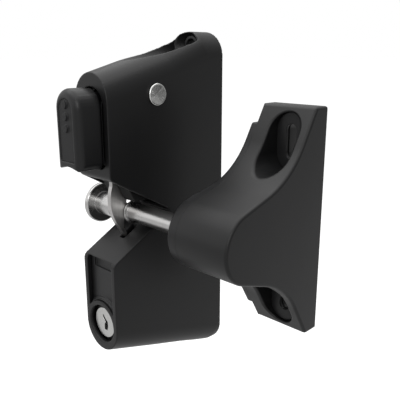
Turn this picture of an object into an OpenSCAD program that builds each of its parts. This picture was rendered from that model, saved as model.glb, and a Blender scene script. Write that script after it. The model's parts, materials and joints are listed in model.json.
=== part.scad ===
// Self-latching gate latch: push button, key lock, dropping blade and striker pin on a bracket.
// Millimetres. The origin is on the back face of the latch body, in its mid plane, at the height
// of the striker pin. +Z is up, the front of the latch faces -Y, the striker bracket lies on +X.

/* [Latch body] */
// Width of the latch body across its side walls
body_w = 24.8; // [23.6:0.2:30]
// Depth of the latch body from its back face to its front face
body_d = 73.5; // [72:0.5:80]
// Height of the sloping ridge above the pin axis, at the front face
ridge_z = 67.9; // [66:0.1:76]
// Slope of the front part of the upper ridge, rising to the rear
ridge_slope = 15.3; // [14:0.1:18]
// Slope of the rear part of the upper ridge
ridge_slope_rear = 20.5; // [16:0.5:24]
// Distance from the back face to where the ridge turns steeper
ridge_turn = 38; // [30:1:50]
// Height of the flat hump over the upper post screw
hump_z = 86.4; // [85:0.1:92]
// Slope of the lower ridge, falling to the rear
foot_slope = 16.6; // [14:0.1:18]
// Depth of the flat foot below the pin axis
foot_z = 88.3; // [85:0.1:92]
// Thickness of the moulded walls
wall = 2.4; // [2:0.1:2.8]

/* [Mouth] */
// Distance from the front face back to the point of the mouth
mouth_setback = 36.6; // [36:0.1:38]
// Angle of each face of the mouth to the horizontal
mouth_angle = 29.2; // [28:0.1:31]
// Radius that rounds the point of the mouth
mouth_r = 1.6; // [1:0.1:2]

/* [Post screws] */
// Height of each post screw above or below the pin axis
post_screw_z = 79.6; // [78:0.1:82]
// Radius of the clearance hole for a post screw
post_hole_r = 3.4; // [2.5:0.1:4]
// Height of the centre of each post screw's pocket above or below the pin axis
post_pocket_z = 81; // [80:0.1:83]
// Radius of the pocket that gives access to a post screw
post_pocket_r = 8.7; // [7:0.1:9.2]
// Radius of the narrower pocket that gives access to the lower post screw
low_pocket_r = 6.5; // [6:0.1:7]
// Depth of solid plastic behind a post screw's seat
post_seat_d = 14; // [10:0.5:18]

/* [Release button] */
// Width of the push button
button_w = 18; // [14:0.2:18.6]
// Height of the button's lower edge above the pin axis
button_low = 25.3; // [25:0.1:28]
// Height of the button's upper edge above the pin axis
button_high = 61.4; // [58:0.2:62.4]
// Distance that the button stands out of the front face
button_out = 13.6; // [11:0.1:16]
// Travel of the button when pressed
button_travel = 10; // [8:0.5:10]
// Running gap around the button
button_gap = 0.2; // [0.2:0.05:0.5]

/* [Latch blade] */
// Thickness of the steel blade
blade_t = 2.5; // [2:0.1:3]
// Radius of the blade's curved front edge
blade_r = 22.7; // [22.4:0.1:23.4]
// Distance from the pin's axis forwards to the blade's rear edge, at the height of the pin
blade_ahead = 4.6; // [4.4:0.1:5]
// Lean of the blade's rear edge, forwards at its tip
blade_lean = 10.8; // [8:0.1:12]
// Lift of the blade at full button travel
blade_lift = 18; // [17:0.5:18]
// Radius of the cross pin that carries the blade
cross_pin_r = 2; // [1.5:0.1:2.4]

/* [Guide rivet] */
// Radius of the rivet's dished heads
rivet_head_r = 5.15; // [4:0.05:6]
// Radius of the rivet's shank
rivet_r = 2.5; // [2:0.1:2.8]
// Distance from the front face back to the rivet
rivet_setback = 28.3; // [27.5:0.1:29]
// Height of the rivet above the pin axis
rivet_z = 57.4; // [57:0.1:58.4]

/* [Key lock] */
// Depth of the lock's centre line below the pin axis
lock_low = 54.3; // [52:0.1:55]
// Radius of the visible face of the key plug
plug_face_r = 7.7; // [6.5:0.05:8]
// Recess of the plug's face behind the front face
plug_recess = 2; // [1.5:0.1:4]
// Throw of the lock bar between unlocked and locked
bar_throw = 8; // [6:0.5:8]
// Width of the lock bar
bar_w = 7; // [5:0.2:7.2]
// Thickness of the lock bar
bar_t = 4; // [3:0.1:4.2]

/* [Striker pin] */
// Radius of the striker pin's shank
pin_r = 4.75; // [4:0.05:5]
// Radius of the pin's neck, where the blade catches it
pin_neck_r = 3.3; // [3:0.05:3.4]
// Radius of the collar between the neck and the end disc
pin_collar_r = 5.8; // [4.8:0.1:6.2]
// Radius of the ring where the shank meets the neck
pin_ring_r = 5.9; // [5.2:0.05:6]
// Distance from the latch's front face back to the pin's axis
pin_setback = 20.7; // [20.2:0.1:21.2]
// Radius of the pin's end disc
pin_head_r = 10.5; // [8:0.05:11]
// Thickness of the pin's end disc
pin_head_t = 3; // [2:0.1:4]
// Distance from the latch's mid plane to the near face of the end disc
pin_head_x = 22.8; // [22:0.1:28]
// Travel that the pin can be wound back into its bracket
pin_adjust = 9; // [6:0.5:9]

/* [Striker bracket] */
// Distance from the latch's mid plane to the bracket's moulding
bracket_x = 49.8; // [46:0.2:54]
// Width of the bracket's moulding along the pin
bracket_w = 28.8; // [27:0.2:32]
// Height of the bracket
bracket_h = 107.2; // [104:0.2:116]
// Distance of the bracket's back face in front of the latch's back face
bracket_back = 2.8; // [1:0.1:4]
// Thickness of the bracket's ends
bracket_end_t = 9; // [8:0.5:11]
// Radius of the bracket's nose round the pin
nose_r = 15.9; // [14:0.1:17]
// Radius of the hollow curve between the bracket's end and its nose
hollow_r = 40; // [34:1:44]
// Thickness of the bracket's moulded walls
bracket_wall = 3; // [2.4:0.1:3.2]

/* [Bracket slots] */
// Height of each gate screw slot's centre above or below the pin axis
slot_z = 37.3; // [36:0.1:38]
// Half the width of a gate screw slot
slot_r = 2.8; // [2.5:0.1:4]
// End-to-end length of a gate screw slot
slot_len = 16; // [12:0.5:17]
// Half the width of the pocket around a slot
pocket_r = 8.05; // [7:0.05:8.4]
// End-to-end length of the pocket around a slot
pocket_len = 26.6; // [24:0.2:27.4]
// Distance from the moulding's latch side to the middle of the slots
slot_in = 15.6; // [15:0.1:16]
// Thickness of the bracket's plastic behind each pocket
slot_floor_t = 7.2; // [6:0.1:8]
// Thickness of the liner on each pocket's floor
slot_plate_t = 1.5; // [1:0.1:2]

/* [Striker cover] */
// Thickness of the cover on the bracket's inner side
cover_t = 3.4; // [2.6:0.1:4]
// Half the height of the cover
cover_half_h = 45; // [42:0.5:48]
// Height of the boss round the pin on the cover
cover_boss_t = 1.8; // [1:0.1:3]

/* [Fasteners and springs] */
// Radius of the case screws' shanks
screw_r = 1.5; // [1.2:0.1:1.6]
// Radius of the case screws' heads
screw_head_r = 2.8; // [2.4:0.1:3]
// Mean radius of the button spring
spring_r = 3.4; // [3:0.1:3.8]
// Radius of the button spring's wire
spring_wire_r = 0.5; // [0.4:0.05:0.6]
// Number of turns of the button spring
spring_turns = 10; // [6:1:12]

/* [Clearances] */
// Radial clearance of a shaft that turns or slides in a bore
run_gap = 0.05; // [0.03:0.01:0.1]
// Gap between a fixed piece and the wall beside it
fit_gap = 0.1; // [0.05:0.05:0.2]
// Gap between moving pieces with flat faces
slide_gap = 0.3; // [0.2:0.05:0.4]

/* [Hidden] */
$fn = 64;
cut = 0.1;
far = 200;

// Places that keep their distance from the front face
pin_d = body_d - pin_setback;
rivet_d = body_d - rivet_setback;
mouth_point = body_d - mouth_setback;

// Body
body_r = body_w / 2;
inner_r = body_r - wall;
ridge_step = 0.06;
back_plate_t = 2.5;
lip_r = 3;

// Mouth
function mouth_line_z(y_front, grow = 0) =
    (y_front - mouth_point) * tan(mouth_angle) + grow / cos(mouth_angle);
mouth_centre = mouth_point + mouth_r / sin(mouth_angle);

// Back plate and its screws
plate_post_r = 3;
plate_post_x = inner_r - 3.1;
plate_post_z = post_pocket_z - post_pocket_r - wall - 4.4;
sleeve_t = 1.5;
seat_slope_d = 3.4;
web_d = 4;
web_h = 6;
bulkhead_h = 12;
spring_peg_len = 7;
screw_head_t = 1.6;
screw_len = 9;

// Button, tail and blade
button_front = -body_d - button_out;
button_edge_r = 3.6;
button_round_z = button_high - button_w / 2;
button_foot_r = 3;
low_edge_r = 2;
dot_r = 1.7;
dot_drop = 2.8;
dot_pitch = 5.2;
dot_proud = 0.8;
pad_sink = 0.4;
arch_r = 17;
arch_rise = 1.8;
pad_deep = 0.8;
pad_half_w = button_w / 2 - 3.6;
pad_low = button_low + 4;
pad_high = button_high - 4.2;
tail_x_in = blade_t / 2 + 0.5;
tail_x_out = tail_x_in + 3;
tail_low = button_low + 0.9;
tail_high = rivet_z + rivet_r + 4;
lug_front = -body_d + 34.3;
lug_t = 5.2;
lug_rear = lug_front + lug_t;
notch_high = tail_low + bar_throw + 0.2;
notch_front = lug_front - bar_t - 4.8;
flange_t = 1.6;
flange_y = -body_d + wall + 0.2;
bush_r = rivet_r + 0.8;
guide_high = button_low - 1;
guide_low = pin_ring_r + 1.4;
guide_front = 15.6;
guide_rear = 7;
blade_centre = [9.7 - pin_d, 7.2];
blade_tip = 12.2;
blade_tip_at = -pin_d - 3.7;
blade_claw = [[-pin_d - 7.68, -7.4], [blade_tip_at - 1.1, -blade_tip], [blade_tip_at, -blade_tip],
    [blade_tip_at, -10.2], [-pin_d - 5.5, -7.2]];
blade_front = -blade_centre[0] + blade_r;
blade_stem_z = 14.8;
blade_stem_front = pin_d + 11.7;
blade_stem_rear = pin_d - 2.8;
blade_top = 46;
function blade_edge_y(z) = -pin_d - blade_ahead + z * tan(blade_lean);
cross_pin_y = -pin_d - 4.2;
cross_pin_z = 32;
tip_slot_front = pin_d + 6.1;
tip_slot_len = 9.2;
tip_slot_half = blade_t / 2 + 0.3;

// Spring
spring_seat_y = lug_rear + 0.2;
spring_end_y = -back_plate_t - 0.2;
spring_rise = 18;
spring_z = tail_low + spring_rise;

// Lock
lock_axis_z = -lock_low;
ring_r = 11.9;
ring_hole_r = plug_face_r + 1.7;
ring_soft = 0.7;
plug_front = -body_d + plug_recess;
plug_body_r = plug_face_r - 1.55;
barrel_front = plug_front + 1.4;
barrel_flange_t = 2.6;
bulkhead_y = barrel_front + barrel_flange_t;
bulkhead_t = 3;
barrel_r = plug_face_r + 0.95;
barrel_len = 18.4;
barrel_end = bulkhead_y + barrel_len;
nut_r = (inner_r - 0.35) / cos(30);
nut_t = 4;
clip_t = 1;
bar_front = lug_rear + slide_gap;
bar_back = bar_front + bar_t;
cam_t = 3;
cam_front = bar_front - 1.5 - cam_t;
cam_r = 8.2;
cam_square = 2.4;
peg_r = 2;
peg_throw = bar_throw / 2 / sin(45);
peg_gap = 0.25;
bar_foot = 5;
bar_hook = 5.4;
keeper_t = 2.5;
keeper_half_h = 5;
screw_hole_len = 8;
cam_screw_head_t = 1.1;
keyway_d = 7;
bar_top = tail_low - 0.6;
window_half = body_r - 2.7;
window_top = -mouth_line_z(body_d);
window_bottom = lock_axis_z;
label_w = 14;
label_h = 4.4;
label_z = window_top - 3;
label_deep = 1.1;
panel_front = -body_d + wall + 0.1;
panel_t = 2.2;

// Striker
bracket_near = bracket_x + bracket_w;
nose_y = -pin_d;
end_y = -bracket_back - bracket_end_t;
end_angle = 60;
nose_angle = 18;
pocket_x = bracket_x + slot_in;
pocket_floor = -bracket_back - slot_floor_t;
pin_shoulder_x = blade_t / 2 + 0.15;
pin_end_x = bracket_near - bracket_wall - pin_adjust - 1.6;
pin_boss_r = 9.5;
insert_r = pin_r + 2.6;
insert_len = 14;
grub_x = bracket_x + 6;
grub_r = 2.4;
cover_all_t = cover_t + cover_boss_t;
cover_screw_places = [[-11, 17], [-33, 12]];

// Points on an arc round a centre, from angle a to angle b
function arc(centre, r, a, b, n) =
    [for (i = [0:n]) let (t = a + (b - a) * i / n) centre + r * [cos(t), sin(t)]];

// A side profile, drawn as (Y, Z), drawn out w wide and centred on x
module along_x(w, x = 0) {
    translate([x, 0, 0]) rotate([90, 0, 90]) linear_extrude(w, center = true) children();
}

// A cylinder along +Y that starts at y
module rod_y(r, y, len, x = 0, z = 0, fn = 64) {
    translate([x, y, z]) rotate([-90, 0, 0]) cylinder(r = r, h = len, $fn = fn);
}

// A cylinder along +X that starts at x
module rod_x(r, x, len, y = 0, z = 0, fn = 64) {
    translate([x, y, z]) rotate([0, 90, 0]) cylinder(r = r, h = len, $fn = fn);
}

// A box given by its lowest and highest corners
module box(low, high) {
    translate(low) cube([for (i = [0:2]) high[i] - low[i]]);
}

// A block along Y with round ends above and below: half width r, height h over all
module obround_y(r, h, y, len, x = 0, z = 0) {
    for (s = [-1, 1]) rod_y(r, y, len, x, z + s * (h / 2 - r));
    box([x - r, y, z - h / 2 + r], [x + r, y + len, z + h / 2 - r]);
}

module both_ways_up() {
    children();
    mirror([0, 0, 1]) children();
}

// A round-topped block whose ridge passes through (y, z) and rises to the rear at the slope a
module ridge_form(r, y, z, a) {
    rise = far * tan(a);
    axis_z = z - body_r / cos(a);
    translate([0, y, axis_z]) rotate([a, 0, 0]) translate([0, -far / 2, 0]) rotate([-90, 0, 0])
        cylinder(r = r, h = 1.5 * far);
    along_x(2 * r) polygon([[y - far / 2, -hump_z], [y - far / 2, axis_z - rise / 2],
        [y + far, axis_z + rise], [y + far, -hump_z]]);
}

// The outside of the latch body for a half width r: round above and below, with the ridges
// sloping out to flat ends
module body_form(r, y_front, y_back) {
    turn_z = ridge_z + (body_d - ridge_turn) * tan(ridge_slope);
    intersection() {
        // the rear form is a hair narrower, so that the two never share a face
        union() {
            ridge_form(r, -body_d, ridge_z, ridge_slope);
            ridge_form(r - ridge_step, -ridge_turn, turn_z, ridge_slope_rear);
        }
        mirror([0, 0, 1]) ridge_form(r, -body_d, ridge_z, foot_slope);
        union() {
            rod_y(r, y_front, y_back - y_front, 0, hump_z - body_r);
            rod_y(r, y_front, y_back - y_front, 0, body_r - foot_z);
            box([-r, y_front, body_r - foot_z], [r, y_back, hump_z - body_r]);
        }
    }
}

// The profile of the mouth, grown outwards by g
module mouth_profile(g = 0) {
    r = mouth_r + g;
    touch = [-mouth_centre + r * sin(mouth_angle), r * cos(mouth_angle)];
    translate([-mouth_centre, 0]) circle(r);
    polygon([[-mouth_centre, 0], touch, [-body_d - 20, mouth_line_z(body_d + 20, g)],
        [-body_d - 20, -mouth_line_z(body_d + 20, g)], [touch[0], -touch[1]]]);
}

// A soft lower lip of radius r on the front of each jaw, as the profile that is cut away
module lip_cut() {
    half = (90 - mouth_angle) / 2;
    z = mouth_line_z(body_d);
    reach = lip_r * tan(half);
    difference() {
        polygon([[-body_d - 1, z - 2], [-body_d - 1, z + reach], [-body_d, z + reach],
            [-body_d + lip_r, z + reach], [-body_d + reach * cos(mouth_angle),
                z - reach * sin(mouth_angle)],
            [-body_d + reach * cos(mouth_angle) - 1, z - reach * sin(mouth_angle) - 1.5]]);
        translate([-body_d + lip_r, z + reach]) circle(lip_r);
    }
}

// A screw's pocket, its hole and the seat that slopes in to it
module post_pocket(r, z) {
    rod_y(r, -body_d, body_d - post_seat_d, 0, z);
    rod_y(post_hole_r + sleeve_t, -post_seat_d - 1, post_seat_d + 2, 0, post_screw_z);
    translate([0, -post_seat_d - cut, post_screw_z]) rotate([-90, 0, 0])
        cylinder(r1 = r - 0.8, r2 = post_hole_r + sleeve_t, h = seat_slope_d + cut);
}

module post_pockets() {
    post_pocket(post_pocket_r, post_pocket_z);
    mirror([0, 0, 1]) post_pocket(low_pocket_r, post_screw_z);
}

// The cavity of the housing, without the pieces of plastic that cross it
module cavity() {
    difference() {
        body_form(inner_r, -body_d + wall, cut);
        // floor of the mouth on the lower jaw, carried round the point of the mouth
        intersection() {
            along_x(body_w) mouth_profile(wall);
            box([-body_r, -body_d, -body_d], [body_r, 0, mouth_r + 1]);
        }
        // pockets and seats of the post screws
        both_ways_up() rod_y(post_pocket_r + wall, -body_d, body_d + 1, 0, post_pocket_z);
        // posts for the back plate's screws
        for (p = plate_screw_places()) rod_y(plate_post_r, p[2], -p[2] - back_plate_t, p[0], p[1]);
        both_ways_up() box([-1.2, -post_seat_d - web_d, plate_post_z], [1.2, -back_plate_t,
            plate_post_z + web_h]);
        // bulkhead that holds the lock barrel
        box([-body_r, bulkhead_y, lock_axis_z - bulkhead_h],
            [body_r, bulkhead_y + bulkhead_t, lock_axis_z + bulkhead_h - 1]);
    }
    // recess that takes the back plate
    intersection() {
        body_form(inner_r, -back_plate_t, cut);
        difference() {
            box([-body_r, -back_plate_t, -far], [body_r, cut, far]);
            both_ways_up() rod_y(post_pocket_r + wall, -body_d, body_d + 1, 0, post_pocket_z);
        }
    }
}

// Each back plate screw: X, Z and where its post starts
function plate_screw_places() = [
    [0, plate_post_z, -post_seat_d - web_d], [0, -plate_post_z, -post_seat_d - web_d],
    [plate_post_x, 0, -mouth_point - 1], [-plate_post_x, 0, -mouth_point - 1]];

module latch_housing() color([0.13, 0.13, 0.135]) {
    difference() {
        body_form(body_r, -body_d, 0);
        cavity();
        along_x(body_w + 2) mouth_profile();
        both_ways_up() along_x(body_w + 2) lip_cut();
        post_pockets();
        // opening for the button
        intersection() {
            button_outline(button_gap);
            box([-far, -body_d - 1, -far], [far, -body_d + wall + 1, far]);
        }
        // window over the label panel
        difference() {
            box([-window_half, -body_d - 1, window_bottom], [window_half, -body_d + wall + 2.4,
                window_top]);
            rod_y(ring_r, -body_d - 2, wall + 4, 0, lock_axis_z);
        }
        // hole round the key plug, with a soft front edge
        at_lock() rod_y(ring_hole_r, -body_d - 1, wall + 2);
        at_lock() rotate([-90, 0, 0]) translate([0, 0, -body_d]) rotate_extrude() difference() {
            square([ring_hole_r + ring_soft, ring_soft]);
            translate([ring_hole_r + ring_soft, ring_soft]) circle(ring_soft);
        }
        rod_y(barrel_r + fit_gap, bulkhead_y - 1, bulkhead_t + 2, 0, lock_axis_z);
        // slot for the tip of the blade
        box([-tip_slot_half, -tip_slot_front, -blade_tip - 8], [tip_slot_half,
            tip_slot_len - tip_slot_front, -2]);
        // rivet holes and guide peg holes
        rod_x(rivet_r, -body_r - 1, body_w + 2, -rivet_d, rivet_z);
        for (y = guide_peg_places()) rod_x(1.5, -inner_r - 1.3, 2 * inner_r + 2.6, y, guide_high - 3);
        // pilot holes for the back plate's screws
        for (p = plate_screw_places()) rod_y(screw_r, -screw_len - back_plate_t, screw_len + 4, p[0],
            p[1], 32);
    }
}

function guide_peg_places() = [-pin_d - 10, -pin_d + 1];

// A prism along Y with the button's outline as seen from the front, grown by g
module button_outline(g = 0) {
    x_low = button_w / 2 - button_foot_r;
    rotate([90, 0, 0]) linear_extrude(far) polygon(concat(
        arc([0, button_round_z], button_w / 2 + g, 0, 180, 18),
        arc([-x_low, button_low + button_foot_r], button_foot_r + g, 180, 270, 5),
        arc([x_low, button_low + button_foot_r], button_foot_r + g, 270, 360, 5)));
}

module back_plate() color([0.16, 0.16, 0.165]) {
    g = fit_gap;
    difference() {
        union() {
            body_form(inner_r - g, -back_plate_t, 0);
            rod_y(spring_r - spring_wire_r - 0.3, -back_plate_t - spring_peg_len,
                spring_peg_len + 0.5, 0, spring_z, 32);
        }
        both_ways_up() rod_y(post_pocket_r + wall + g, -body_d, body_d + 1, 0, post_pocket_z);
        for (p = plate_screw_places()) {
            rod_y(screw_r + g, -back_plate_t - 1, back_plate_t + 2, p[0], p[1], 32);
            rod_y(screw_head_r + g, -screw_head_t - g, screw_head_t + 2, p[0], p[1], 32);
        }
    }
}

// A case screw along Y with its head's top at y = 0, reaching forwards, and a cross recess
module case_screw(len) {
    difference() {
        union() {
            rod_y(screw_head_r, -screw_head_t, screw_head_t, 0, 0, 32);
            rod_y(screw_r, -len, len, 0, 0, 32);
        }
        for (a = [0, 90]) rotate([0, a, 0]) box([-1.6, -0.8, -0.35], [1.6, 1, 0.35]);
    }
}

module back_plate_screws() color("silver") {
    for (p = plate_screw_places()) translate([p[0], -0.1, p[1]]) case_screw(screw_len);
}

// Sleeves that line the post screws' holes
module post_screw_sleeves() color([0.22, 0.22, 0.225]) {
    both_ways_up() difference() {
        rod_y(post_hole_r + sleeve_t - 0.02, seat_slope_d - post_seat_d - 0.3,
            post_seat_d - seat_slope_d + 0.2,
            0, post_screw_z);
        rod_y(post_hole_r, -post_seat_d - 2, post_seat_d + 4, 0, post_screw_z);
    }
}

// Block inside the upper jaw that the blade slides through
module blade_guide() color([0.1, 0.1, 0.105]) {
    g = fit_gap;
    front = pin_d + guide_front;
    rear = pin_d - guide_rear;
    z_mid = guide_high - 3;
    difference() {
        union() {
            along_x(2 * (inner_r - g)) polygon([[-front, mouth_line_z(front, 1)], [-front, guide_high],
                [-rear, guide_high], [-rear, guide_low], [-pin_d - 5, guide_low],
                [-pin_d - 9, mouth_line_z(pin_d + 9, 1)]]);
            for (y = guide_peg_places()) rod_x(1.5 - g, -inner_r - 1.2, 2 * inner_r + 2.4, y, z_mid, 32);
        }
        box([-blade_t / 2 - 0.15, -blade_front - 0.4, 0],
            [blade_t / 2 + 0.15, blade_edge_y(guide_high) + 0.3, guide_high + 1]);
    }
}

module guide_rivet() color([0.78, 0.78, 0.77]) {
    dish = 0.8;
    proud = 1.3;
    rod_x(rivet_r, -body_r, body_w, -rivet_d, rivet_z);
    for (s = [-1, 1]) translate([s * body_r, -rivet_d, rivet_z]) rotate([0, s * 90, 0])
        rotate_extrude() polygon([[0, 0], [rivet_head_r, 0], [rivet_head_r, proud - 0.35],
            [rivet_head_r - 0.35, proud], [rivet_head_r - 0.7, proud], [0, proud - dish]]);
}

module guide_bush() color([0.7, 0.6, 0.35]) {
    difference() {
        rod_x(bush_r, -inner_r + fit_gap, 2 * (inner_r - fit_gap), -rivet_d, rivet_z);
        rod_x(rivet_r + 0.02, -inner_r - 1, 2 * inner_r + 2, -rivet_d, rivet_z);
    }
}

// A straight slot of half width r between two points of the side profile; its ends are a
// hair wider than its sides
module slot_2d(a, b, r) {
    length = norm(b - a);
    half = r - 0.02;
    for (p = [a, b]) translate(p) circle(r);
    translate(a) rotate(atan2(b[1] - a[1], b[0] - a[0])) translate([0, -half]) square([length, 2 * half]);
}

module cheek_profile() {
    cam_start = [cross_pin_y, cross_pin_z];
    cam_end = cam_start + [-button_travel, blade_lift];
    rivet_at = [-rivet_d, rivet_z];
    difference() {
        polygon([[-body_d - 2, tail_low], [notch_front, tail_low], [notch_front, notch_high],
            [lug_front, notch_high], [lug_front, tail_low], [lug_rear, tail_low], [lug_rear, tail_high],
            [-body_d + wall + 1, tail_high], [-body_d + wall + 1, button_high - 2],
            [-body_d - 2, button_high - 2]]);
        slot_2d(cam_start, cam_end, cross_pin_r + 0.15);
        slot_2d(rivet_at, rivet_at - [button_travel, 0], bush_r + 0.15);
    }
}

module release_button() color([0.14, 0.14, 0.145]) {
    difference() {
        union() {
            // cap, with soft front edges and an arch under it
            difference() {
                intersection() {
                    button_outline();
                    button_block();
                }
                rod_y(arch_r, -far, far - body_d - 2, 0, button_low - arch_r + arch_rise, 128);
            }
            // fork that carries the cam slots
            for (s = [-1, 1]) along_x(tail_x_out - tail_x_in, s * (tail_x_in + tail_x_out) / 2)
                cheek_profile();
            // lug that the lock bar blocks and the spring pushes on
            box([-tail_x_out, lug_front, tail_low], [tail_x_out, lug_rear, rivet_z - bush_r - 2]);
            // retaining flange behind the front wall
            box([-inner_r + slide_gap, flange_y, tail_low],
                [inner_r - slide_gap, flange_y + flange_t, ridge_z - body_r - 0.5]);
        }
        // room for the blade between the cheeks and behind the cap
        box([-tail_x_in, -body_d - 3.6, -far], [tail_x_in, lug_front - cut, far]);
        // shallow recess for the front pad
        button_pad_form(0, 0);
        // seat of the spring
        rod_y(spring_r + spring_wire_r + 0.3, lug_rear - 1, 2, 0, spring_z, 32);
    }
}

// The outside of the button's cap: its front edge is round all the way along the sides and over
// the half-round top, and it stands a hair outside the cap's outline
module button_block() {
    w = button_w / 2 + 0.03;
    rear = -body_d - 1;
    edge = arc([w - button_edge_r, button_front + button_edge_r], button_edge_r, 270, 360, 8);
    intersection() {
        union() {
            translate([0, 0, button_low - cut]) linear_extrude(button_round_z - button_low + cut)
                polygon(concat([[w, rear], [-w, rear]],
                    arc([button_edge_r - w, button_front + button_edge_r], button_edge_r, 180, 270,
                        8), edge));
            intersection() {
                translate([0, 0, button_round_z]) rotate([-90, 0, 0]) rotate_extrude()
                    polygon(concat([[0, button_front]], edge, [[w, rear], [0, rear]]));
                box([-far, -far, button_round_z], [far, far, far]);
            }
        }
        along_x(2 * w + 2) polygon(concat([[rear, button_low - cut], [rear, button_high + cut],
            [button_front - cut, button_high + cut]],
            arc([button_front + low_edge_r, button_low + low_edge_r], low_edge_r, 180, 270, 5)));
    }
}

module button_pad_form(g, sink) {
    box([-pad_half_w + g, button_front - 1 + sink, pad_low + g],
        [pad_half_w - g, button_front + pad_deep, pad_high - pad_half_w]);
    rod_y(pad_half_w - g, button_front - 1 + sink, 1 + pad_deep - sink, 0, pad_high - pad_half_w);
}

// Soft pad let into the button's front, with three round finger dots in a row
module button_pad() color([0.17, 0.17, 0.175]) {
    button_pad_form(fit_gap, 1 + pad_sink);
    for (i = [0:2]) rod_y(dot_r, button_front + pad_sink - dot_proud, pad_deep, 0,
        pad_high - dot_drop - dot_pitch * i);
}

// Points of the spring's tube: a helix along Y with flat ends
function spring_ring(t, sides = 6) =
    let (a = 360 * spring_turns * t,
        y0 = spring_seat_y + spring_wire_r, y1 = spring_end_y - spring_wire_r,
        lead = (y1 - y0) / (360 * spring_turns) * 180 / PI,
        slope = atan2(lead, spring_r),
        c = [spring_r * cos(a), y0 + (y1 - y0) * t, spring_z + spring_r * sin(a)],
        out = [cos(a), 0, sin(a)],
        up = [sin(a) * sin(slope), cos(slope), -cos(a) * sin(slope)])
    [for (k = [0:sides - 1]) c + spring_wire_r * (cos(k * 360 / sides) * out + sin(k * 360 / sides) * up)];

module button_spring() color([0.72, 0.72, 0.7]) {
    sides = 6;
    steps = 8 * spring_turns;
    rings = [for (i = [0:steps]) spring_ring(i / steps)];
    points = [for (r = rings) for (p = r) p];
    walls = [for (i = [0:steps - 1]) for (k = [0:sides - 1])
        let (a = i * sides + k, b = i * sides + (k + 1) % sides)
        each [[a, a + sides, b], [b, a + sides, b + sides]]];
    start = [for (k = [1:sides - 2]) [0, k, k + 1]];
    stop = [for (k = [1:sides - 2]) [steps * sides, steps * sides + k + 1, steps * sides + k]];
    polyhedron(points, concat(walls, start, stop));
    pitch = (spring_end_y - spring_seat_y - 2 * spring_wire_r) / spring_turns;
    echo(spring_gap_between_turns = pitch - 2 * spring_wire_r);
}

module latch_blade() color([0.62, 0.62, 0.61]) {
    shoulder = guide_high + 0.1;
    along_x(blade_t) difference() {
        union() {
            intersection() {
                translate(blade_centre) circle(blade_r, $fn = 128);
                polygon([[-far, blade_claw[0][1]], [blade_claw[4][0], blade_claw[0][1]],
                    [blade_edge_y(-4), -4],
                    [blade_edge_y(blade_stem_z + 1), blade_stem_z + 1], [-far, blade_stem_z + 1]]);
            }
            polygon(concat(blade_claw, [[blade_edge_y(-4), -4], [-pin_d - 9, -4]]));
            polygon([[-blade_stem_front, blade_stem_z], [blade_edge_y(blade_stem_z), blade_stem_z],
                [blade_edge_y(shoulder), shoulder], [-blade_stem_rear, shoulder],
                [-blade_stem_rear, blade_top], [-blade_stem_front, blade_top]]);
        }
        translate([cross_pin_y, cross_pin_z]) circle(cross_pin_r);
    }
}

module blade_cross_pin() color([0.75, 0.75, 0.74]) {
    rod_x(cross_pin_r, -tail_x_out - 0.8, 2 * tail_x_out + 1.6, cross_pin_y, cross_pin_z);
}

// Panel behind the window in the lower jaw, with a bare label recess and stepped arcs round
// the lock's ring
module label_panel() color([0.2, 0.2, 0.205]) {
    difference() {
        union() {
            intersection() {
                body_form(inner_r - fit_gap, panel_front, panel_front + panel_t);
                union() {
                    box([-inner_r, panel_front, lock_axis_z + ring_hole_r - 0.4], [inner_r, 0,
                        window_top - 5]);
                    box([-window_half + fit_gap, panel_front, window_top - 6],
                        [window_half - fit_gap, 0, window_top - fit_gap]);
                }
            }
            intersection() {
                box([-window_half + fit_gap, -body_d, lock_axis_z + 7], [window_half - fit_gap, 0,
                    window_top - 4]);
                union() {
                    at_lock() rod_y(ring_r + 0.8, panel_front - 1.4, 2);
                    at_lock() rod_y(ring_r + 1.6, panel_front - 0.7, 2);
                }
            }
        }
        box([-label_w / 2, panel_front - 3, label_z - label_h / 2],
            [label_w / 2, panel_front + label_deep, label_z + label_h / 2]);
        at_lock() rod_y(ring_r + fit_gap, -body_d - 1, 1 - cut + body_d + panel_front);
        at_lock() rod_y(barrel_r + 1.25, -body_d, 12);
    }
}

module at_lock() {
    translate([0, 0, lock_axis_z]) children();
}

module lock_barrel() color([0.3, 0.3, 0.31]) at_lock() {
    difference() {
        union() {
            rod_y(barrel_r + 1.1, barrel_front, barrel_flange_t);
            rod_y(barrel_r, barrel_front, barrel_end - barrel_front);
        }
        rod_y(plug_face_r + run_gap, barrel_front - 1, 3);
        rod_y(plug_body_r + run_gap, barrel_front - 1, 40);
    }
}

module barrel_nut() color([0.7, 0.7, 0.68]) at_lock() {
    start = bulkhead_y + bulkhead_t + 0.02;
    difference() {
        rotate([0, 30, 0]) rod_y(nut_r, start, nut_t, 0, 0, 6);
        rod_y(barrel_r + 0.02, start - 1, nut_t + 2);
    }
}

// The crooked keyway, as seen from the front
module keyway_cut() {
    outline = [[-1.9, 3.6], [-0.9, 3.9], [0.5, 2.3], [2.3, 0.9], [2.5, -1.5], [1.7, -4], [-0.4, -3.9],
        [-0.4, -1.2], [0.5, 0.2], [-0.9, 2]];
    translate([0, plug_front + keyway_d, 0]) rotate([90, 0, 0]) linear_extrude(keyway_d + 1)
        polygon(outline);
}

module lock_plug() color([0.82, 0.82, 0.8]) at_lock() {
    difference() {
        union() {
            rod_y(plug_face_r, plug_front, barrel_front + 1.9 - plug_front);
            rod_y(plug_body_r, plug_front, barrel_end + 0.3 - plug_front);
            rod_y(plug_body_r - 1.2, plug_front, barrel_end + 0.3 + clip_t - plug_front);
            rod_y(plug_body_r - 0.4, barrel_end + 0.3 + clip_t, 1);
            box([-cam_square, barrel_end, -cam_square], [cam_square, cam_front + cam_t, cam_square]);
        }
        keyway_cut();
        rod_y(screw_r, cam_front + cam_t - screw_hole_len, screw_hole_len + 1, 0, 0, 32);
    }
}

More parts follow.
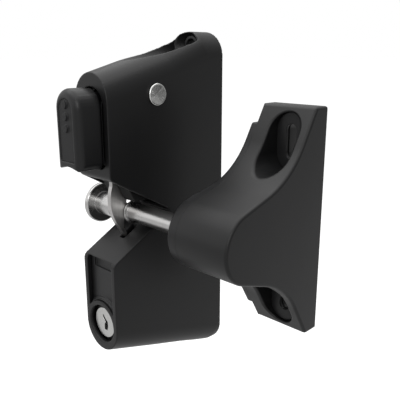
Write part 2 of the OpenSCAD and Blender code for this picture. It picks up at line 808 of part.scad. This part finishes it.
module plug_clip() color([0.7, 0.7, 0.68]) at_lock() {
    difference() {
        rod_y(plug_body_r + 1.3, barrel_end + 0.3, clip_t);
        rod_y(plug_body_r - 1.2, barrel_end, 3);
        box([-1.2, barrel_end, -12], [1.2, barrel_end + 3, 0]);
    }
}

module lock_cam() color([0.66, 0.66, 0.64]) at_lock() {
    difference() {
        rod_y(cam_r, cam_front, cam_t);
        box([-cam_square, cam_front - 1, -cam_square], [cam_square, cam_front + cam_t + 1, cam_square]);
    }
    rod_y(peg_r, cam_front + cam_t - 1, bar_back - cam_front - cam_t + 1, peg_throw * cos(45),
        -peg_throw * sin(45));
}

module cam_screw() color("silver") at_lock() {
    y = cam_front + cam_t;
    rod_y(screw_head_r + 0.5, y, cam_screw_head_t, 0, 0, 32);
    rod_y(screw_r, y + 2 - screw_hole_len, screw_hole_len - 1.5, 0, 0, 32);
}

module lock_bar() color([0.6, 0.6, 0.59]) {
    peg = [peg_throw * cos(45), lock_axis_z - peg_throw * sin(45)];
    half = peg_r + peg_gap;
    reach = peg_throw * (1 - cos(45));
    difference() {
        union() {
            box([-bar_w / 2, bar_front, peg[1] - bar_foot], [bar_w / 2, bar_back, bar_top]);
            box([-bar_w / 2, bar_front, peg[1] - bar_foot], [peg[0] + bar_hook, bar_back,
                peg[1] + bar_foot]);
        }
        for (x = [peg[0] - 0.1, peg[0] + reach + 0.1]) rod_y(half, bar_front - 1, bar_t + 2, x, peg[1]);
        box([peg[0] - 0.1, bar_front - 1, peg[1] - half], [peg[0] + reach + 0.1, bar_back + 1,
            peg[1] + half]);
    }
}

// Saddle that holds the lock bar against the posts
module bar_keeper() color([0.24, 0.24, 0.245]) {
    y = bar_back + slide_gap;
    difference() {
        box([-inner_r + fit_gap, y, -keeper_half_h], [inner_r - fit_gap, y + keeper_t, keeper_half_h]);
        for (s = [-1, 1]) rod_y(plate_post_r + 0.02, y - 1, keeper_t + 2, s * plate_post_x, 0);
    }
}

// The point where the lines along the sloped end and along the nose meet, both moved in by t
function edge_meet(t) =
    let (na = [-sin(end_angle), cos(end_angle)], nb = [-sin(nose_angle), cos(nose_angle)],
        a0 = [end_y, bracket_h / 2] - t * na,
        b0 = [nose_y, 0] + (nose_r - t) * nb,
        ka = na * a0, kb = nb * b0,
        det = na[0] * nb[1] - na[1] * nb[0])
    [(ka * nb[1] - kb * na[1]) / det, (na[0] * kb - nb[0] * ka) / det];

// Upper half of the bracket's outline, moved in by t: end, sloped face, hollow curve and nose
function bracket_half(t) =
    let (meet = edge_meet(t), top = bracket_h / 2 - t)
    concat([[-bracket_back - t, top], meet + [(top - meet[1]) / tan(end_angle), top - meet[1]]],
        arc(edge_meet(-hollow_r), hollow_r + t, end_angle - 90, nose_angle - 90, 14),
        arc([nose_y, 0], nose_r - t, nose_angle + 90, 180, 12));

// The bracket's side profile moved inwards by t, as (Y, Z)
module bracket_profile(t = 0) {
    half = bracket_half(t);
    polygon(concat(half, [for (i = [len(half) - 2:-1:0]) [half[i][0], -half[i][1]]]));
}

module striker_bracket() color([0.17, 0.17, 0.175]) {
    difference() {
        along_x(bracket_w, bracket_x + bracket_w / 2) bracket_profile();
        // hollow inside, open towards the cover
        difference() {
            along_x(bracket_w, bracket_x + bracket_w / 2 - bracket_wall) bracket_profile(bracket_wall);
            both_ways_up() obround_y(pocket_r + bracket_wall, pocket_len + 2 * bracket_wall, -far,
                far, pocket_x, slot_z);
            both_ways_up() {
                box([bracket_x, pocket_floor, cover_half_h - 14], [far, 0, far]);
                box([bracket_x, -far, cover_half_h - 3], [far, 0, far]);
            }
            rod_x(pin_boss_r, bracket_x, bracket_w, nose_y, 0);
            box([bracket_x, nose_y - 3, -nose_r], [bracket_near, nose_y + 3, 0]);
            for (p = cover_screw_places) both_ways_up() rod_x(3.4, bracket_x, bracket_w, p[0], p[1]);
        }
        both_ways_up() {
            obround_y(pocket_r, pocket_len, -far, far + pocket_floor, pocket_x, slot_z);
            obround_y(slot_r, slot_len, pocket_floor - 1, 20, pocket_x, slot_z);
        }
        // bore for the pin, counterbore for its insert and hole for the grub screw
        rod_x(pin_r + run_gap, bracket_x - 1, pin_end_x + pin_adjust + 1.6 - bracket_x, nose_y, 0);
        rod_x(insert_r, bracket_x - 1, insert_len + 1, nose_y, 0);
        translate([grub_x, nose_y, -nose_r - 1]) cylinder(r = grub_r, h = nose_r + 1 - pin_r);
        for (p = cover_screw_places) both_ways_up() rod_x(screw_r, bracket_x - 1, 9, p[0], p[1], 32);
    }
}

module striker_cover() color([0.15, 0.15, 0.155]) {
    difference() {
        intersection() {
            along_x(cover_all_t, bracket_x - cover_all_t / 2) bracket_profile();
            union() {
                box([bracket_x - cover_t, -far, -cover_half_h], [far, far, cover_half_h]);
                rod_x(nose_r + 1, bracket_x - cover_all_t - 1, cover_boss_t + 2, nose_y, 0);
            }
        }
        rod_x(pin_r + 0.4, 0, far, nose_y, 0);
        for (p = cover_screw_places) both_ways_up() {
            rod_x(screw_r + fit_gap, bracket_x - cover_t - 1, cover_t + 2, p[0], p[1], 32);
            rod_x(screw_head_r + fit_gap, bracket_x - cover_t - 1, screw_head_t + 1.2, p[0], p[1], 32);
        }
    }
}

module cover_screws() color("silver") {
    for (p = cover_screw_places) both_ways_up()
        translate([bracket_x - cover_t + 0.1, p[0], p[1]]) rotate([0, 0, 90]) case_screw(screw_len);
}

// Liners on the floors of the bracket's pockets
module slot_plates() color([0.28, 0.28, 0.29]) {
    both_ways_up() difference() {
        obround_y(pocket_r - fit_gap, pocket_len - 2 * fit_gap, pocket_floor - slot_plate_t,
            slot_plate_t, pocket_x, slot_z);
        obround_y(slot_r, slot_len, pocket_floor - slot_plate_t - 1, slot_plate_t + 2, pocket_x, slot_z);
    }
}

module pin_insert() color([0.72, 0.6, 0.3]) {
    difference() {
        rod_x(insert_r, bracket_x, insert_len, nose_y, 0);
        rod_x(pin_r + run_gap, bracket_x - 1, insert_len + 2, nose_y, 0);
        translate([grub_x, nose_y, -nose_r]) cylinder(r = grub_r, h = nose_r);
    }
}

module pin_grub_screw() color([0.3, 0.3, 0.3]) {
    top = -pin_r - run_gap - 0.05;
    length = 8;
    translate([grub_x, nose_y, top - length]) difference() {
        cylinder(r = grub_r, h = length);
        translate([0, 0, -1]) cylinder(r = 1.3, h = 3.5, $fn = 6);
    }
}

module striker_pin() color([0.7, 0.7, 0.69]) {
    head = -pin_head_x - pin_head_t;
    collar_end = -pin_adjust - 1.9;
    x = pin_shoulder_x;
    translate([0, nose_y, 0]) rotate([0, 90, 0]) rotate_extrude($fn = 96) polygon([
        [0, head], [pin_head_r - 0.8, head], [pin_head_r, head + 0.8], [pin_head_r, -pin_head_x - 0.6],
        [pin_head_r - 0.6, -pin_head_x], [pin_collar_r, -pin_head_x], [pin_collar_r, collar_end - 0.5],
        [pin_collar_r - 0.5, collar_end], [pin_neck_r, collar_end], [pin_neck_r, x],
        [pin_ring_r - 0.3, x], [pin_ring_r, x + 0.3], [pin_ring_r, x + 0.8], [pin_r - 0.35, x + 1],
        [pin_r - 0.35, x + 1.5], [pin_r, x + 1.8], [pin_r, pin_end_x - 1], [pin_r - 1, pin_end_x],
        [0, pin_end_x]]);
}

latch_housing();
back_plate();
back_plate_screws();
post_screw_sleeves();
blade_guide();
guide_rivet();
guide_bush();
release_button();
button_pad();
button_spring();
latch_blade();
blade_cross_pin();
label_panel();
lock_barrel();
barrel_nut();
lock_plug();
plug_clip();
lock_cam();
cam_screw();
lock_bar();
bar_keeper();
striker_bracket();
striker_cover();
cover_screws();
slot_plates();
pin_insert();
pin_grub_screw();
striker_pin();
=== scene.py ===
import bmesh
import bpy
import json
import math
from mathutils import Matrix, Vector


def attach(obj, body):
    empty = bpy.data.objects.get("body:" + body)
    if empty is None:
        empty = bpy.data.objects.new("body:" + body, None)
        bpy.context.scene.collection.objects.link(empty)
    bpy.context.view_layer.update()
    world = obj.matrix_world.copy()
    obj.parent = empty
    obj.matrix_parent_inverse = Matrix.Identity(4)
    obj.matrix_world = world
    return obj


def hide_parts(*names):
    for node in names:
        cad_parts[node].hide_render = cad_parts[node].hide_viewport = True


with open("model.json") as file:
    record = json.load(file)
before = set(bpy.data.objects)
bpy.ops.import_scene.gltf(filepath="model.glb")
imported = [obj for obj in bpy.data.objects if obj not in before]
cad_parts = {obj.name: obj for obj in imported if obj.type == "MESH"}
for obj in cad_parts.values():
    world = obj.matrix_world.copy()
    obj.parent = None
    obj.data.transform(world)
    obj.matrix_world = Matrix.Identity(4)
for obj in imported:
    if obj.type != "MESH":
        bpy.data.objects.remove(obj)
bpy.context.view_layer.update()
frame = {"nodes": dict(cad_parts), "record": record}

MM = 0.001
WHITE = (1, 1, 1, 1)


# Small helpers for node trees

def add_node(tree, kind, settings=None, inputs=None):
    """A node with its settings, and with each input set to a value or linked to another node's socket."""
    node = tree.nodes.new(kind)
    for key, value in (settings or {}).items():
        setattr(node, key, value)
    for key, value in (inputs or {}).items():
        if isinstance(value, bpy.types.NodeSocket):
            tree.links.new(value, node.inputs[key])
        else:
            node.inputs[key].default_value = value
    return node


def add_math(tree, operation, first, second):
    """The result of one sum on two numbers, either of which may be another node's socket."""
    return add_node(tree, "ShaderNodeMath", {"operation": operation}, {0: first, 1: second}).outputs[0]


def new_group(name, inputs, outputs):
    """A shader node group with named float inputs and outputs."""
    tree = bpy.data.node_groups.new(name, "ShaderNodeTree")
    for label, value in inputs.items():
        socket = tree.interface.new_socket(label, in_out="INPUT", socket_type="NodeSocketFloat")
        socket.default_value = value
    for label in outputs:
        tree.interface.new_socket(label, in_out="OUTPUT", socket_type="NodeSocketFloat")
    return tree, tree.nodes.new("NodeGroupInput"), tree.nodes.new("NodeGroupOutput")


def place_group(tree, group, values):
    """A group placed in a material, with the material's own values."""
    node = tree.nodes.new("ShaderNodeGroup")
    node.node_tree = group
    for key, value in values.items():
        node.inputs[key].default_value = value
    return node


def position(tree):
    """The point's place in the object's own space, in metres."""
    return add_node(tree, "ShaderNodeTexCoord").outputs["Object"]


# Surface effects that several materials share

def build_moulded_grain():
    """Fine even grain of a satin moulded face, as a height and as a slow change of gloss."""
    tree, given, out = new_group(
        "moulded_grain", {"Grains per metre": 2600, "Patches per metre": 60, "Patch change": 0.06},
        ["Height", "Gloss change"])
    place = position(tree)
    grain = add_node(tree, "ShaderNodeTexNoise", inputs={
        "Vector": place, "Scale": given.outputs["Grains per metre"], "Detail": 2.5, "Roughness": 0.6})
    patch = add_node(tree, "ShaderNodeTexNoise", inputs={
        "Vector": place, "Scale": given.outputs["Patches per metre"], "Detail": 3.0, "Roughness": 0.55})
    centred = add_math(tree, "SUBTRACT", patch.outputs["Fac"], 0.5)
    change = add_math(tree, "MULTIPLY", centred, given.outputs["Patch change"])
    tree.links.new(grain.outputs["Fac"], out.inputs["Height"])
    tree.links.new(change, out.inputs["Gloss change"])
    return tree


def build_painted_edge_highlight():
    """A mask that is 1 along sharp outer edges, where the colour is painted paler as a highlight."""
    tree, given, out = new_group("painted_edge_highlight", {"Start": 0.53, "Full": 0.62}, ["Mask"])
    geometry = add_node(tree, "ShaderNodeNewGeometry")
    ramp = add_node(tree, "ShaderNodeMapRange", {"interpolation_type": "SMOOTHSTEP"}, {
        "Value": geometry.outputs["Pointiness"], "From Min": given.outputs["Start"],
        "From Max": given.outputs["Full"]})
    tree.links.new(ramp.outputs["Result"], out.inputs["Mask"])
    return tree


def build_tool_lines():
    """Lines that brushing or turning leaves, counted per metre, square to the axis with the highest count."""
    tree, given, out = new_group(
        "tool_lines", {"Across X": 60, "Across Y": 60, "Across Z": 60}, ["Height", "Shade"])
    stretch = add_node(tree, "ShaderNodeCombineXYZ", inputs={
        "X": given.outputs["Across X"], "Y": given.outputs["Across Y"], "Z": given.outputs["Across Z"]})
    scaled = add_node(tree, "ShaderNodeVectorMath", {"operation": "MULTIPLY"}, {
        0: position(tree), 1: stretch.outputs[0]})
    lines = add_node(tree, "ShaderNodeTexNoise", inputs={
        "Vector": scaled.outputs[0], "Scale": 1.0, "Detail": 4.0, "Roughness": 0.65})
    tree.links.new(lines.outputs["Fac"], out.inputs["Height"])
    tree.links.new(lines.outputs["Fac"], out.inputs["Shade"])
    return tree


def build_handling():
    """Broad uneven patches where fingers and weather have changed the gloss."""
    tree, given, out = new_group("handling", {"Patches per metre": 45, "Low": 0.3, "High": 0.4}, ["Value"])
    patch = add_node(tree, "ShaderNodeTexNoise", inputs={
        "Vector": position(tree), "Scale": given.outputs["Patches per metre"], "Detail": 4.0})
    spread = add_node(tree, "ShaderNodeMapRange", inputs={
        "Value": patch.outputs["Fac"], "From Min": 0.3, "From Max": 0.7,
        "To Min": given.outputs["Low"], "To Max": given.outputs["High"]})
    tree.links.new(spread.outputs["Result"], out.inputs["Value"])
    return tree


moulded_grain = build_moulded_grain()
painted_edge_highlight = build_painted_edge_highlight()
tool_lines = build_tool_lines()
handling = build_handling()


# Kinds of material

def new_material(name, settings):
    material = bpy.data.materials.new(name)
    material.use_nodes = True
    tree = material.node_tree
    shader = tree.nodes["Principled BSDF"]
    for key, value in settings.items():
        shader.inputs[key].default_value = value
    return material, tree, shader


def mixed_colour(tree, mask, low, high):
    """Colour low where the mask is 0 and high where it is 1."""
    mix = add_node(tree, "ShaderNodeMix", {"data_type": "RGBA"}, {
        "Factor": mask, "A": (*low, 1), "B": (*high, 1)})
    return mix.outputs["Result"]


def bumped(tree, height, depth):
    """A normal that follows a height, whose full step is depth metres."""
    bump = add_node(tree, "ShaderNodeBump", inputs={"Height": height, "Strength": 1.0, "Distance": depth})
    return bump.outputs["Normal"]


def satin_nylon(name, colour, lit_edge_colour, rough, shine, grains=2600, depth=0.006 * MM):
    """Moulded nylon: fine grain, slightly uneven gloss and edges painted paler as a highlight."""
    material, tree, shader = new_material(name, {"Specular IOR Level": shine})
    grain = place_group(tree, moulded_grain, {"Grains per metre": grains})
    edge_light = place_group(tree, painted_edge_highlight, {})
    gloss = add_math(tree, "ADD", grain.outputs["Gloss change"], rough)
    tree.links.new(mixed_colour(tree, edge_light.outputs["Mask"], colour, lit_edge_colour), shader.inputs["Base Color"])
    tree.links.new(gloss, shader.inputs["Roughness"])
    tree.links.new(bumped(tree, grain.outputs["Height"], depth), shader.inputs["Normal"])
    return material


def tooled_metal(name, dark, light, rough, lines, depth=0.003 * MM):
    """Brushed, rolled or turned metal: rough is its lowest and highest roughness, lines its three counts."""
    material, tree, shader = new_material(name, {"Metallic": 1.0})
    marks = place_group(tree, tool_lines, dict(zip(("Across X", "Across Y", "Across Z"), lines)))
    gloss = place_group(tree, handling, dict(zip(("Low", "High"), rough)))
    tree.links.new(mixed_colour(tree, marks.outputs["Shade"], dark, light), shader.inputs["Base Color"])
    tree.links.new(gloss.outputs["Value"], shader.inputs["Roughness"])
    tree.links.new(bumped(tree, marks.outputs["Height"], depth), shader.inputs["Normal"])
    return material


def cast_metal(name, colour, lit_edge_colour, rough, grains=3500, depth=0.004 * MM):
    """Cast or blackened metal with a fine skin and edges painted brighter as a highlight."""
    material, tree, shader = new_material(name, {"Metallic": 1.0})
    grain = place_group(tree, moulded_grain, {"Grains per metre": grains})
    edge_light = place_group(tree, painted_edge_highlight, {})
    gloss = place_group(tree, handling, dict(zip(("Low", "High"), rough)))
    tree.links.new(mixed_colour(tree, edge_light.outputs["Mask"], colour, lit_edge_colour), shader.inputs["Base Color"])
    tree.links.new(gloss.outputs["Value"], shader.inputs["Roughness"])
    tree.links.new(bumped(tree, grain.outputs["Height"], depth), shader.inputs["Normal"])
    return material


def turned_about_x(material, pull):
    """Stretches a metal's reflections round the X axis, as on a face turned in a lathe."""
    tree = material.node_tree
    shader = tree.nodes["Principled BSDF"]
    shader.inputs["Anisotropic"].default_value = pull
    tangent = add_node(tree, "ShaderNodeTangent", {"direction_type": "RADIAL", "axis": "X"})
    tree.links.new(tangent.outputs["Tangent"], shader.inputs["Tangent"])


# Nylon of the moulded pieces and rubber of the button's pad

def nylon_looks():
    # The second colour of each finish is the painted highlight along its edges.
    return {
        "moulded_black": satin_nylon(
            "black_nylon", colour=(0.007, 0.007, 0.0073), lit_edge_colour=(0.014, 0.014, 0.015), rough=0.4, shine=0.3),
        "moulded_grey": satin_nylon(
            "grey_nylon", colour=(0.0115, 0.0115, 0.012), lit_edge_colour=(0.024, 0.024, 0.025), rough=0.42, shine=0.32),
        "moulded_inner": satin_nylon(
            "inner_nylon", colour=(0.005, 0.005, 0.005), lit_edge_colour=(0.01, 0.01, 0.01), rough=0.5, shine=0.2),
        "button_black": satin_nylon(
            "button_nylon", colour=(0.0065, 0.0065, 0.007), lit_edge_colour=(0.016, 0.016, 0.017), rough=0.36,
            shine=0.32),
        "pad_black": satin_nylon(
            "pad_rubber", colour=(0.008, 0.008, 0.0085), lit_edge_colour=(0.014, 0.014, 0.015), rough=0.5, shine=0.26,
            grains=1800, depth=0.012 * MM),
        "panel_black": satin_nylon(
            "panel_nylon", colour=(0.01, 0.01, 0.0105), lit_edge_colour=(0.02, 0.02, 0.021), rough=0.42, shine=0.34),
        "cover_black": satin_nylon(
            "cover_nylon", colour=(0.006, 0.006, 0.0065), lit_edge_colour=(0.014, 0.014, 0.015), rough=0.38, shine=0.3),
    }


# Steel of the pin, the blade, the rivet, the spring, the lock bar, the screws and the small fasteners

def steel_looks():
    return {
        "screw_steel": tooled_metal(
            "screw_steel", dark=(0.45, 0.45, 0.44), light=(0.6, 0.6, 0.59), rough=(0.26, 0.36),
            lines=(900, 900, 900)),
        "rivet_steel": tooled_metal(
            "rivet_steel", dark=(0.52, 0.52, 0.51), light=(0.62, 0.62, 0.61), rough=(0.2, 0.24),
            lines=(300, 300, 300), depth=0.0002 * MM),
        "blade_steel": tooled_metal(
            "blade_steel", dark=(0.3, 0.295, 0.29), light=(0.62, 0.61, 0.6), rough=(0.3, 0.38),
            lines=(200, 2300, 60)),
        "pin_steel": tooled_metal(
            "pin_steel", dark=(0.45, 0.446, 0.44), light=(0.53, 0.525, 0.52), rough=(0.24, 0.3),
            lines=(1300, 60, 60), depth=0.0006 * MM),
        "spring_steel": tooled_metal(
            "spring_steel", dark=(0.45, 0.45, 0.45), light=(0.6, 0.6, 0.6), rough=(0.25, 0.35),
            lines=(400, 400, 400)),
        "bar_steel": tooled_metal(
            "bar_steel", dark=(0.42, 0.42, 0.41), light=(0.56, 0.56, 0.55), rough=(0.35, 0.45),
            lines=(2500, 2500, 90)),
        # Its second colour is a painted highlight along the edges.
        "grub_steel": cast_metal(
            "black_oxide", colour=(0.03, 0.03, 0.03), lit_edge_colour=(0.12, 0.12, 0.12), rough=(0.35, 0.45)),
    }


# Brass of the bush and the insert, and zinc and nickel of the lock

def lock_and_bush_looks():
    return {
        "bush_brass": tooled_metal(
            "turned_brass", dark=(0.55, 0.4, 0.16), light=(0.72, 0.55, 0.25), rough=(0.25, 0.35),
            lines=(2500, 300, 300)),
        # The second colour of both zinc finishes is a painted highlight along the edges.
        "lock_zinc": cast_metal(
            "dulled_zinc", colour=(0.04, 0.04, 0.04), lit_edge_colour=(0.14, 0.14, 0.14), rough=(0.42, 0.52)),
        "cam_zinc": cast_metal(
            "bright_zinc", colour=(0.5, 0.5, 0.49), lit_edge_colour=(0.7, 0.7, 0.69), rough=(0.35, 0.45)),
        "key_nickel": tooled_metal(
            "bright_nickel", dark=(0.5, 0.5, 0.49), light=(0.58, 0.58, 0.57), rough=(0.24, 0.3),
            lines=(300, 900, 300), depth=0.0006 * MM),
    }


LOOKS = nylon_looks() | steel_looks() | lock_and_bush_looks()
turned_about_x(LOOKS["rivet_steel"], pull=0.75)
SLOT_OF = {row["node"]: row["material_slot"] for row in frame["record"]["subparts"]}
BODY_OF = {node: body for body, nodes in frame["record"]["behaviour"]["bodies"].items() for node in nodes}


# Places on the striker that keep crisp edges, from the frame's own shapes

def reach(node, axis):
    """The lowest and the highest coordinate of a CAD node along one axis."""
    places = [corner.co[axis] for corner in frame["nodes"][node].data.vertices]
    return min(places), max(places)


X_AXIS = 0
Y_AXIS = 1
SEAM_X = reach("striker_bracket", X_AXIS)[0]
REAR_Y = reach("striker_bracket", Y_AXIS)[1]
SLOT_X = sum(reach("slot_plates", X_AXIS)) / 2
# How far a slot's mouth may reach from SLOT_X, and how near a corner on a face lies to it
SLOT_REACH = 4 * MM
ON_FACE = 0.05 * MM
# The share of the full rounding that a crisp edge gets
CRISP_SHARE = 0.1


def kept_crisp(edge):
    """True for an edge in the face where bracket and cover meet, or round a slot's mouth at the rear."""
    ends = [end.co for end in edge.verts]
    in_seam = all(abs(end.x - SEAM_X) < ON_FACE for end in ends)
    at_slot = all(end.y > REAR_Y - ON_FACE and abs(end.x - SLOT_X) < SLOT_REACH for end in ends)
    return in_seam or at_slot


# Pieces with soft edges, made from the frame's own shapes

MERGE_GAP = 0.03 * MM
FLAT_ANGLE = math.radians(0.6)
SHARP_ANGLE = math.radians(25)
ROUNDING_STEPS = 4

# Width of the rounding in mm, always in full
EDGED = {
    "blade_guide": 0.4, "post_screw_sleeves": 0.25, "striker_bracket": 1.4,
    "striker_cover": 0.9, "slot_plates": 0.2,
}
# Width of the rounding in mm, less where the piece has no room for it
EDGED_FINE = {
    "latch_blade": 0.25, "guide_rivet": 0.15, "striker_pin": 0.3,
    "lock_plug": 0.25, "lock_barrel": 0.25, "pin_insert": 0.2,
}
# Grid cell in mm and number of relaxing passes
MOULDED = {
    "latch_housing": (0.36, 4), "release_button": (0.3, 5), "button_pad": (0.18, 10), "label_panel": (0.2, 6),
}


def give_finish(piece, node):
    piece.data.materials.clear()
    piece.data.materials.append(LOOKS[SLOT_OF[node]])


def carried_copy(node, label):
    """A smooth-shaded copy of a CAD node's mesh that stands in its place, with its finish."""
    piece = bpy.data.objects.new(node + label, frame["nodes"][node].data.copy())
    bpy.context.scene.collection.objects.link(piece)
    mesh = bmesh.new()
    mesh.from_mesh(piece.data)
    bmesh.ops.remove_doubles(mesh, verts=mesh.verts, dist=MERGE_GAP)
    bmesh.ops.dissolve_limit(mesh, angle_limit=FLAT_ANGLE, verts=mesh.verts, edges=mesh.edges)
    bmesh.ops.dissolve_degenerate(mesh, dist=MERGE_GAP, edges=mesh.edges)
    for face in mesh.faces:
        face.smooth = True
    mesh.to_mesh(piece.data)
    mesh.free()
    give_finish(piece, node)
    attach(piece, BODY_OF[node])
    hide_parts(node)
    return piece


def even_shading(piece):
    """Lets broad faces rule the shading, so that they look flat up to their rounded edges."""
    evened = piece.modifiers.new("even shading", "WEIGHTED_NORMAL")
    evened.weight = 100
    evened.keep_sharp = True


def weigh_edges(piece):
    """Gives each sharp edge the share of the full rounding that it gets."""
    mesh = bmesh.new()
    mesh.from_mesh(piece.data)
    share = mesh.edges.layers.float.new("bevel_weight_edge")
    for edge in mesh.edges:
        if edge.is_manifold and edge.calc_face_angle() > SHARP_ANGLE:
            edge[share] = CRISP_SHARE if kept_crisp(edge) else 1.0
    mesh.to_mesh(piece.data)
    mesh.free()


def edged(node, width, clamp):
    """A copy whose sharp edges are rounded by width, but hardly where they are kept crisp."""
    piece = carried_copy(node, "_edged")
    weigh_edges(piece)
    rounding = piece.modifiers.new("rounded edges", "BEVEL")
    rounding.width = width
    rounding.segments = ROUNDING_STEPS
    rounding.limit_method = "WEIGHT"
    rounding.use_clamp_overlap = clamp
    rounding.miter_outer = "MITER_ARC"
    even_shading(piece)


def moulded(node, cell, passes):
    """A copy remade on a fine grid and relaxed, so that all its edges run soft into one another."""
    piece = carried_copy(node, "_moulded")
    grid = piece.modifiers.new("fine grid", "REMESH")
    grid.mode = "VOXEL"
    grid.voxel_size = cell
    grid.use_smooth_shade = True
    relaxed = piece.modifiers.new("relaxed", "SMOOTH")
    relaxed.factor = 0.5
    relaxed.iterations = passes
    even_shading(piece)


def make_soft_pieces():
    for node, width in EDGED.items():
        edged(node, width * MM, clamp=False)
    for node, width in EDGED_FINE.items():
        edged(node, width * MM, clamp=True)
    for node, (cell, passes) in MOULDED.items():
        moulded(node, cell * MM, passes)


def finish_plain_nodes():
    """The other pieces keep the frame's own mesh and get their finish."""
    soft = {*EDGED, *EDGED_FINE, *MOULDED}
    for node, piece in frame["nodes"].items():
        if node not in soft:
            give_finish(piece, node)


make_soft_pieces()
finish_plain_nodes()


# Camera at the photograph's viewing angle

CAMERA_PLACE = Vector((212.4, -216.6, 76.8)) * MM
CAMERA_ROUND = math.radians(45)
CAMERA_UP = math.radians(15)
LENS_MM = 50
SENSOR_MM = 36


def place_camera():
    camera = bpy.data.objects.new("camera", bpy.data.cameras.new("camera"))
    camera.data.lens = LENS_MM
    camera.data.sensor_width = SENSOR_MM
    camera.data.clip_start = 10 * MM
    camera.location = CAMERA_PLACE
    level = math.cos(CAMERA_UP)
    look = Vector((-math.sin(CAMERA_ROUND) * level, math.cos(CAMERA_ROUND) * level, -math.sin(CAMERA_UP)))
    camera.rotation_euler = look.to_track_quat("-Z", "Y").to_euler()
    bpy.context.scene.collection.objects.link(camera)
    bpy.context.scene.camera = camera


# Floor and light, with lengths in metres and lamps in watts

FLOOR_SIZE = 30
FLOOR_Z = -0.17
FLOOR_SEEN = 0.92
FLOOR_MIRRORED = 0.45
FLOOR_GREY = (0.3, 0.3, 0.3, 1)
BRIGHT_SIDE = Vector((-0.25, -0.4, 0.88))


def lay_floor():
    """A plain pale floor, seen nearly white, that keeps the object's soft shadow."""
    bpy.ops.mesh.primitive_plane_add(size=FLOOR_SIZE, location=(0, 0, FLOOR_Z))
    floor = bpy.context.object
    floor.name = "floor"
    material = bpy.data.materials.new("pale_floor")
    material.use_nodes = True
    tree = material.node_tree
    tree.nodes.clear()
    path = add_node(tree, "ShaderNodeLightPath")
    mirrored = add_math(tree, "MULTIPLY", path.outputs["Is Glossy Ray"], FLOOR_MIRRORED)
    seen = add_math(tree, "MULTIPLY", path.outputs["Is Camera Ray"], FLOOR_SEEN)
    strength = add_math(tree, "MAXIMUM", seen, mirrored)
    glow = add_node(tree, "ShaderNodeEmission", inputs={"Color": WHITE, "Strength": strength})
    matt = add_node(tree, "ShaderNodeBsdfDiffuse", inputs={"Color": FLOOR_GREY})
    both = add_node(tree, "ShaderNodeAddShader", inputs={0: glow.outputs[0], 1: matt.outputs[0]})
    add_node(tree, "ShaderNodeOutputMaterial", inputs={"Surface": both.outputs[0]})
    floor.data.materials.append(material)


def light_room(level, seen_level, dim):
    """Soft white room, brightest towards BRIGHT_SIDE and dim times as bright on the side away from it.

    level lights the object, seen_level is what shiny faces mirror, and the camera sees plain white.
    """
    world = bpy.data.worlds.new("room")
    bpy.context.scene.world = world
    world.use_nodes = True
    tree = world.node_tree
    direction = add_node(tree, "ShaderNodeTexCoord").outputs["Generated"]
    towards = add_node(tree, "ShaderNodeVectorMath", {"operation": "DOT_PRODUCT"}, {
        0: direction, 1: BRIGHT_SIDE.normalized()})
    fall = add_node(tree, "ShaderNodeMapRange", {"interpolation_type": "SMOOTHSTEP"}, {
        "Value": towards.outputs["Value"], "From Min": -0.7, "From Max": 0.8, "To Min": dim, "To Max": 1.0})
    path = add_node(tree, "ShaderNodeLightPath")
    mirrored = add_math(tree, "MAXIMUM", path.outputs["Is Glossy Ray"], path.outputs["Is Transmission Ray"])
    shiny = add_node(tree, "ShaderNodeMapRange", inputs={
        "Value": mirrored, "To Min": level, "To Max": seen_level})
    shaded = add_math(tree, "MULTIPLY", fall.outputs["Result"], shiny.outputs["Result"])
    strength = add_math(tree, "MAXIMUM", path.outputs["Is Camera Ray"], shaded)
    tree.links.new(strength, tree.nodes["Background"].inputs["Strength"])
    tree.nodes["Background"].inputs["Color"].default_value = WHITE


def hang_lamp(name, place, target, size, power):
    lamp = bpy.data.objects.new(name, bpy.data.lights.new(name, "AREA"))
    lamp.data.energy = power
    lamp.data.size = size
    lamp.location = place
    lamp.rotation_euler = (Vector(target) - Vector(place)).to_track_quat("-Z", "Y").to_euler()
    bpy.context.scene.collection.objects.link(lamp)


place_camera()
lay_floor()
light_room(level=0.45, seen_level=0.85, dim=0.4)
hang_lamp("front_left", place=(-0.35, -0.6, 0.45), target=(0, -0.04, 0), size=1.2, power=2)
hang_lamp("overhead", place=(-0.1, -0.05, 0.8), target=(0.02, -0.04, 0), size=1.2, power=7)
hang_lamp("behind_camera", place=(0.75, -0.75, 0.5), target=(0.02, -0.04, 0), size=0.6, power=3)
bpy.context.scene.view_settings.view_transform = "Standard"
